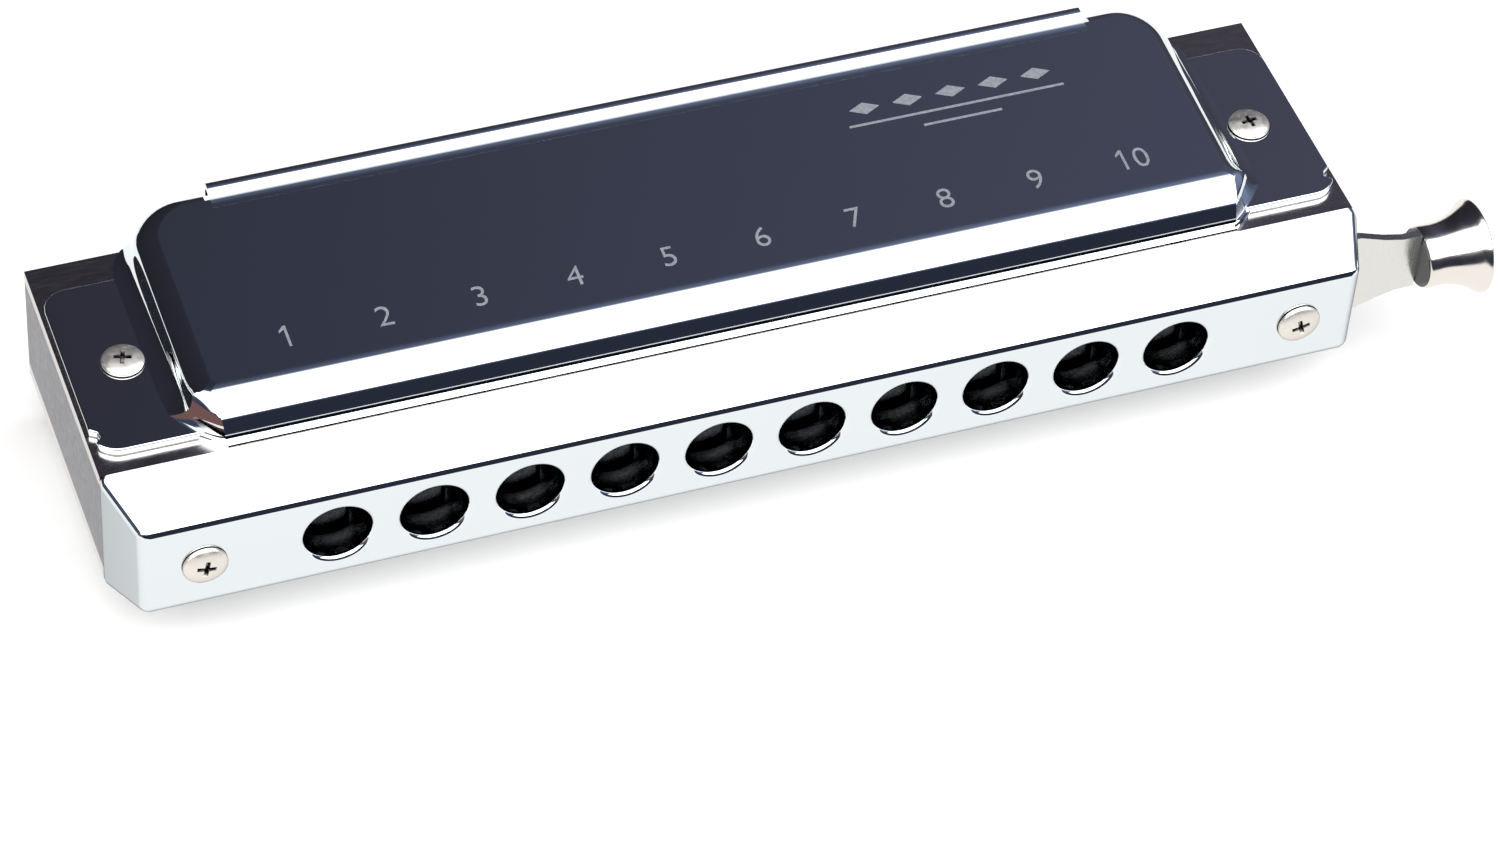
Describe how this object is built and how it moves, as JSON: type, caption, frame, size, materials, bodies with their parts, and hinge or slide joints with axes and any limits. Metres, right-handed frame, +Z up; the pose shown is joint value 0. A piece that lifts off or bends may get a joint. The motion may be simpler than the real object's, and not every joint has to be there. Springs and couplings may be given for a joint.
{
  "type": "chromatic harmonica",
  "caption": "Chromatic harmonica with chromed pressed covers, a tapered metal mouthpiece and a sprung slide button at one end.",
  "frame": {"origin": "middle of the flat crest on the lower cover's rear lip, which the instrument rests on", "axes": "+X along the row of holes from low to high, towards the button; -Y towards the player's mouth; +Z up"},
  "size_m": [0.1368, 0.0364, 0.0252],
  "materials": {
    "chrome": "mirror polished chrome plate",
    "reed_plate_nickel": "nickel plated brass, lightly satin",
    "comb_plastic": "satin moulded",
    "screw_nickel": "bright nickel plate",
    "button_nickel": "bright nickel plate",
    "slide_steel": "satin",
    "spring_wire": "drawn wire",
    "reed_bronze": "ground bronze strip",
    "felt": "pressed felt",
    "rubber": "matt"
  },
  "bodies": {
    "body": {"comb": "comb_plastic", "reed_plate_upper": "reed_plate_nickel", "reed_plate_lower": "reed_plate_nickel", "cover_upper": "chrome", "cover_lower": "chrome", "mouthpiece": "chrome", "cover_screw_upper_left": "screw_nickel", "cover_screw_upper_right": "screw_nickel", "cover_screw_lower_left": "screw_nickel", "cover_screw_lower_right": "screw_nickel", "mouthpiece_screw_left": "screw_nickel", "mouthpiece_screw_right": "screw_nickel", "slide_cage_front": "slide_steel", "slide_cage_back": "slide_steel", "spring_post": "slide_steel", "slide_spring": "spring_wire", "gasket": "felt", "slide_bumper": "rubber", "reed_upper_blow_01": "reed_bronze", "reed_upper_draw_01": "reed_bronze", "reed_upper_blow_02": "reed_bronze", "reed_upper_draw_02": "reed_bronze", "reed_upper_blow_03": "reed_bronze", "reed_upper_draw_03": "reed_bronze", "reed_upper_blow_04": "reed_bronze", "reed_upper_draw_04": "reed_bronze", "reed_upper_blow_05": "reed_bronze", "reed_upper_draw_05": "reed_bronze", "reed_upper_blow_06": "reed_bronze", "reed_upper_draw_06": "reed_bronze", "reed_upper_blow_07": "reed_bronze", "reed_upper_draw_07": "reed_bronze", "reed_upper_blow_08": "reed_bronze", "reed_upper_draw_08": "reed_bronze", "reed_upper_blow_09": "reed_bronze", "reed_upper_draw_09": "reed_bronze", "reed_upper_blow_10": "reed_bronze", "reed_upper_draw_10": "reed_bronze", "reed_lower_blow_01": "reed_bronze", "reed_lower_draw_01": "reed_bronze", "reed_lower_blow_02": "reed_bronze", "reed_lower_draw_02": "reed_bronze", "reed_lower_blow_03": "reed_bronze", "reed_lower_draw_03": "reed_bronze", "reed_lower_blow_04": "reed_bronze", "reed_lower_draw_04": "reed_bronze", "reed_lower_blow_05": "reed_bronze", "reed_lower_draw_05": "reed_bronze", "reed_lower_blow_06": "reed_bronze", "reed_lower_draw_06": "reed_bronze", "reed_lower_blow_07": "reed_bronze", "reed_lower_draw_07": "reed_bronze", "reed_lower_blow_08": "reed_bronze", "reed_lower_draw_08": "reed_bronze", "reed_lower_blow_09": "reed_bronze", "reed_lower_draw_09": "reed_bronze", "reed_lower_blow_10": "reed_bronze", "reed_lower_draw_10": "reed_bronze"},
    "slide_assembly": {"slide": "slide_steel", "slide_button": "button_nickel"}
  },
  "joints": [
    {"name": "slide_press", "type": "slide", "parent": "body", "child": "slide_assembly", "axis": [-1, 0, 0], "range_m": [0, 0.0046], "stiffness_N_per_m": 400, "springref_m": -0.004, "deforming": ["slide_spring"]}
  ]
}
